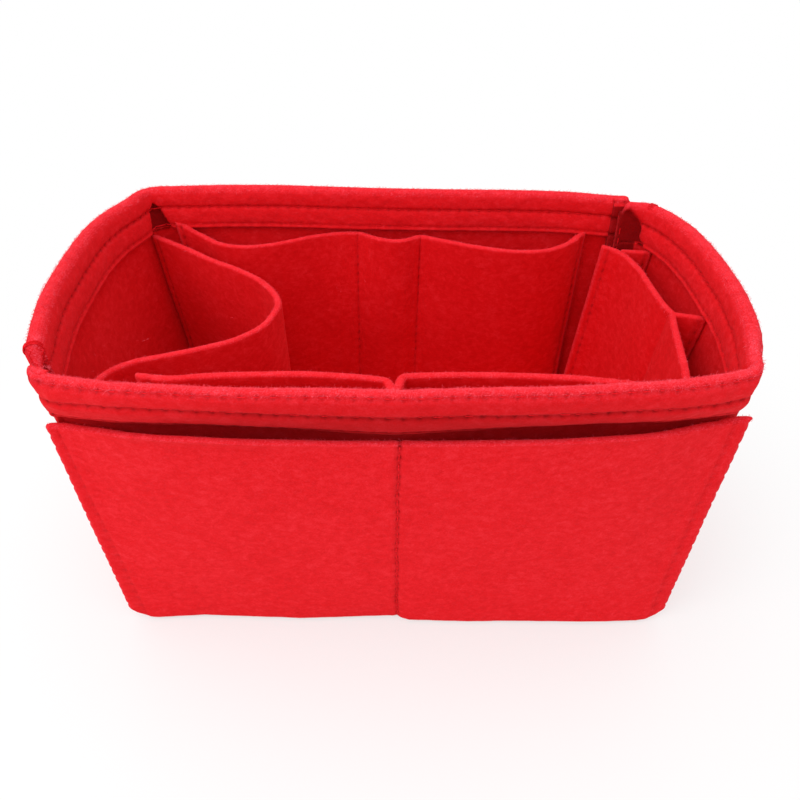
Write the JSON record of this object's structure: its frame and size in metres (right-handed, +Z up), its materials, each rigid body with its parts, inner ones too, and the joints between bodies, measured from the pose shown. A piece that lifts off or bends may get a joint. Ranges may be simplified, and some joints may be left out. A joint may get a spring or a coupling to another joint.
{
  "type": "purse organizer insert",
  "caption": "Soft felt insert for a purse: an open box sewn from flat panels, with pockets inside and outside, a bottle loop and narrow cells.",
  "frame": {"origin": "middle of the floor's rectangle, on its underside", "axes": "+X along the length towards the end with the narrow cells, -Y towards the front with the outer pockets, +Z up out of the open top"},
  "size_m": [0.2682, 0.165, 0.1358],
  "materials": {
    "felt": "matte",
    "thread": "satin"
  },
  "bodies": {
    "root": {"bar_tack_front_left": "thread", "bar_tack_rear_right": "thread", "base_panel": "felt", "base_thread": "thread", "bottle_holder": "felt", "cell_panel": "felt", "cell_rib_middle": "felt", "cell_rib_rear": "felt", "cell_rib_thread_middle": "thread", "cell_rib_thread_rear": "thread", "cell_thread_front": "thread", "cell_thread_rear": "thread", "corner_thread_front_left": "thread", "corner_thread_rear_right": "thread", "front_inner_pocket": "felt", "front_outer_pocket": "felt", "front_pocket_thread_left": "thread", "front_pocket_thread_middle": "thread", "front_pocket_thread_right": "thread", "hem_front_right_thread_bottom_inside": "thread", "hem_front_right_thread_bottom_outside": "thread", "hem_front_right_thread_middle_inside": "thread", "hem_front_right_thread_middle_outside": "thread", "hem_front_right_thread_top_inside": "thread", "hem_front_right_thread_top_outside": "thread", "hem_rear_left_thread_bottom_inside": "thread", "hem_rear_left_thread_bottom_outside": "thread", "hem_rear_left_thread_middle_inside": "thread", "hem_rear_left_thread_middle_outside": "thread", "hem_rear_left_thread_top_inside": "thread", "hem_rear_left_thread_top_outside": "thread", "holder_thread_front": "thread", "holder_thread_rear": "thread", "outer_pocket_thread_left": "thread", "outer_pocket_thread_middle": "thread", "outer_pocket_thread_right": "thread", "rear_inner_pocket": "felt", "rear_pocket_thread_left": "thread", "rear_pocket_thread_middle_left": "thread", "rear_pocket_thread_middle_right": "thread", "rear_pocket_thread_right": "thread", "rear_wall_thread_left": "thread", "rear_wall_thread_middle_left": "thread", "rear_wall_thread_middle_right": "thread", "rear_wall_thread_right": "thread", "wall_front_right": "felt", "wall_rear_left": "felt"}
  },
  "joints": []
}
